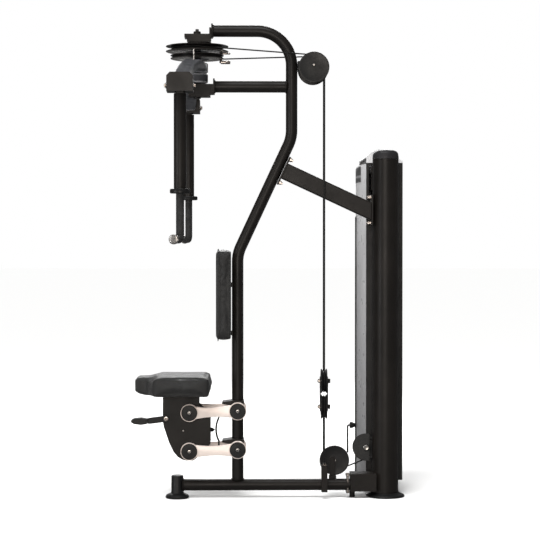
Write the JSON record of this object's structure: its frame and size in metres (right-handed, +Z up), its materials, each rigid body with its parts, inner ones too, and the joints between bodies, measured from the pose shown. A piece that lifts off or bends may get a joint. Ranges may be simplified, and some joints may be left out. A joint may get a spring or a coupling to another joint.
{
  "type": "chest fly and rear shoulder machine",
  "caption": "Seated arm fly machine with overhead swinging arms, hanging handles, adjustable seat, back pad and a cable driven weight tower.",
  "frame": {"origin": "centre of the machine's footprint, on the floor", "axes": "+Z up, the user sits facing -X, the weight tower is at +X, the side nearer the camera is -Y"},
  "size_m": [1.204, 1.3608, 2.084],
  "materials": {
    "frame_paint": "satin black powder coat",
    "black_plastic": "matt",
    "cast_arm": "satin grey casting",
    "bright_link": "satin polished",
    "weight_steel": "dark machined",
    "guide_chrome": "bright",
    "vinyl": "grained vinyl over foam",
    "smoked_plastic": "frosted grey",
    "hood_plastic": "light grey",
    "cable_jacket": "black nylon jacket"
  },
  "bodies": {
    "frame": {"upright": "frame_paint", "arm_support_tube": "frame_paint", "base_tube": "frame_paint", "front_foot": "black_plastic", "base_block": "frame_paint", "brace": "frame_paint", "near_post": "frame_paint", "far_post": "frame_paint", "near_post_foot": "black_plastic", "far_post_foot": "black_plastic", "bottom_beam": "frame_paint", "near_guide_rod": "guide_chrome", "far_guide_rod": "guide_chrome", "top_beam": "frame_paint", "front_shroud": "smoked_plastic", "rear_shroud": "black_plastic", "shroud_hood": "hood_plastic", "resting_plates": "weight_steel", "redirect_bracket": "black_plastic", "bottom_bracket": "frame_paint", "tower_pulley_guard": "black_plastic", "cable_anchor": "frame_paint", "arm_cable": "cable_jacket", "stack_cable": "cable_jacket", "upper_bearing": "frame_paint", "lower_bearing": "frame_paint", "upper_link_bracket": "frame_paint", "lower_link_bracket": "frame_paint", "back_pad": "vinyl"},
    "near_cam": {"near_cam": "frame_paint"},
    "far_cam": {"far_cam": "frame_paint"},
    "near_arm": {"near_arm": "cast_arm", "near_block": "frame_paint"},
    "far_arm": {"far_arm": "cast_arm", "far_block": "frame_paint"},
    "near_handle": {"near_handle": "frame_paint", "near_grip": "black_plastic"},
    "far_handle": {"far_handle": "frame_paint", "far_grip": "black_plastic"},
    "pulley_block": {"float_frame": "frame_paint"},
    "float_upper_pulley": {"float_upper_pulley": "black_plastic"},
    "float_lower_pulley": {"float_lower_pulley": "black_plastic"},
    "near_redirect_pulley": {"near_redirect_pulley": "black_plastic"},
    "far_redirect_pulley": {"far_redirect_pulley": "black_plastic"},
    "bottom_pulley": {"bottom_pulley": "black_plastic"},
    "tower_base_pulley": {"tower_base_pulley": "black_plastic"},
    "post_head_pulley": {"post_head_pulley": "black_plastic"},
    "stack_head_pulley": {"stack_head_pulley": "black_plastic"},
    "weight_carriage": {"lifted_plates": "weight_steel", "head_plate": "weight_steel"},
    "selector_pin": {"selector_pin": "black_plastic", "pin_strap": "black_plastic"},
    "upper_link": {"upper_link": "bright_link"},
    "lower_link": {"lower_link": "bright_link"},
    "seat_carriage": {"seat_carriage": "frame_paint", "seat_cushion": "vinyl"},
    "lock_bar": {"lock_bar": "frame_paint"},
    "lock_plunger": {"lock_plunger": "black_plastic"},
    "seat_lever": {"seat_lever": "black_plastic"}
  },
  "joints": [
    {"name": "arm_drive", "type": "hinge", "parent": "frame", "child": "near_cam", "pos_m": [-0.315, -0.00457, 1.977], "axis": [0, 0, -1], "range_deg": [0, 66]},
    {"name": "far_cam_turn", "type": "hinge", "parent": "frame", "child": "far_cam", "pos_m": [-0.315, -0.00457, 1.94], "axis": [0, 0, 1], "range_deg": [0, 66]},
    {"name": "near_start_position", "type": "hinge", "parent": "near_cam", "child": "near_arm", "pos_m": [-0.315, -0.00457, 1.89], "axis": [0, 0, -1], "range_deg": [-30, 3]},
    {"name": "far_start_position", "type": "hinge", "parent": "far_cam", "child": "far_arm", "pos_m": [-0.315, -0.00457, 1.846], "axis": [0, 0, 1], "range_deg": [-30, 3]},
    {"name": "near_handle_swing", "type": "hinge", "parent": "near_arm", "child": "near_handle", "pos_m": [-0.37, -0.58457, 1.762], "axis": [1, 0, 0], "range_deg": [-12, 12]},
    {"name": "far_handle_swing", "type": "hinge", "parent": "far_arm", "child": "far_handle", "pos_m": [-0.37, 0.57543, 1.762], "axis": [1, 0, 0], "range_deg": [-12, 12]},
    {"name": "block_lift", "type": "slide", "parent": "frame", "child": "pulley_block", "axis": [0, 0, 1], "range_m": [0, 0.125]},
    {"name": "stack_lift", "type": "slide", "parent": "frame", "child": "weight_carriage", "axis": [0, 0, 1], "range_m": [0, 0.25], "deforming": ["stack_cable", "arm_cable"]},
    {"name": "pin_pull", "type": "slide", "parent": "weight_carriage", "child": "selector_pin", "axis": [-1, 0, 0], "range_m": [0, 0.06]},
    {"name": "float_upper_spin", "type": "hinge", "parent": "pulley_block", "child": "float_upper_pulley", "pos_m": [0.243, -0.00457, 0.515], "axis": [1, 0, 0], "continuous": true},
    {"name": "float_lower_spin", "type": "hinge", "parent": "pulley_block", "child": "float_lower_pulley", "pos_m": [0.243, -0.00457, 0.401], "axis": [1, 0, 0], "range_deg": [0, 150]},
    {"name": "near_redirect_spin", "type": "hinge", "parent": "frame", "child": "near_redirect_pulley", "pos_m": [0.195, -0.05257, 1.9], "axis": [0, -1, 0], "range_deg": [0, 150]},
    {"name": "far_redirect_spin", "type": "hinge", "parent": "frame", "child": "far_redirect_pulley", "pos_m": [0.195, 0.04343, 1.9], "axis": [0, -1, 0], "range_deg": [0, 150]},
    {"name": "bottom_spin", "type": "hinge", "parent": "frame", "child": "bottom_pulley", "pos_m": [0.291, 0.04343, 0.16], "axis": [0, 1, 0], "range_deg": [0, 298]},
    {"name": "tower_base_spin", "type": "hinge", "parent": "frame", "child": "tower_base_pulley", "pos_m": [0.432, 0.04343, 0.216], "axis": [0, 1, 0], "range_deg": [0, 298]},
    {"name": "post_head_spin", "type": "hinge", "parent": "frame", "child": "post_head_pulley", "pos_m": [0.48, 0.09143, 1.375], "axis": [1, 0, 0], "range_deg": [0, 298]},
    {"name": "stack_head_spin", "type": "hinge", "parent": "frame", "child": "stack_head_pulley", "pos_m": [0.48, 0.26243, 1.375], "axis": [1, 0, 0], "range_deg": [0, 298]},
    {"name": "seat_height", "type": "hinge", "parent": "frame", "child": "upper_link", "pos_m": [-0.1375, -0.00457, 0.3892], "axis": [0, 1, 0], "range_deg": [-20, 15]},
    {"name": "lower_link_turn", "type": "hinge", "parent": "frame", "child": "lower_link", "pos_m": [-0.1375, -0.00457, 0.2205], "axis": [0, 1, 0], "range_deg": [-20, 15]},
    {"name": "seat_level", "type": "hinge", "parent": "upper_link", "child": "seat_carriage", "pos_m": [-0.3485, -0.00457, 0.3824], "axis": [0, 1, 0], "range_deg": [-15, 20]},
    {"name": "lock_bar_turn", "type": "hinge", "parent": "upper_link", "child": "lock_bar", "pos_m": [-0.222, -0.00457, 0.38648], "axis": [0, 1, 0], "range_deg": [-15, 20]},
    {"name": "seat_lever_pull", "type": "hinge", "parent": "seat_carriage", "child": "seat_lever", "pos_m": [-0.4505, -0.07057, 0.357], "axis": [0, 1, 0], "range_deg": [0, 12], "stiffness_Nm_per_rad": 8, "springref_deg": -8.59},
    {"name": "plunger_draw", "type": "slide", "parent": "seat_carriage", "child": "lock_plunger", "axis": [-1, 0, 0], "range_m": [0, 0.006]}
  ],
  "couplings": [
    {"joint": "far_cam_turn", "follows": "arm_drive", "ratio": 1},
    {"joint": "block_lift", "follows": "arm_drive", "m_per_rad": 0.108},
    {"joint": "stack_lift", "follows": "arm_drive", "m_per_rad": 0.216},
    {"joint": "float_lower_spin", "follows": "arm_drive", "ratio": 2.25},
    {"joint": "near_redirect_spin", "follows": "arm_drive", "ratio": 2.25},
    {"joint": "far_redirect_spin", "follows": "arm_drive", "ratio": 2.25},
    {"joint": "bottom_spin", "follows": "arm_drive", "ratio": 4.5},
    {"joint": "tower_base_spin", "follows": "arm_drive", "ratio": 4.5},
    {"joint": "post_head_spin", "follows": "arm_drive", "ratio": 4.5},
    {"joint": "stack_head_spin", "follows": "arm_drive", "ratio": 4.5},
    {"joint": "lower_link_turn", "follows": "seat_height", "ratio": 1},
    {"joint": "seat_level", "follows": "seat_height", "ratio": -1},
    {"joint": "lock_bar_turn", "follows": "seat_height", "ratio": -1},
    {"joint": "plunger_draw", "follows": "seat_lever_pull", "m_per_rad": 0.023873}
  ]
}
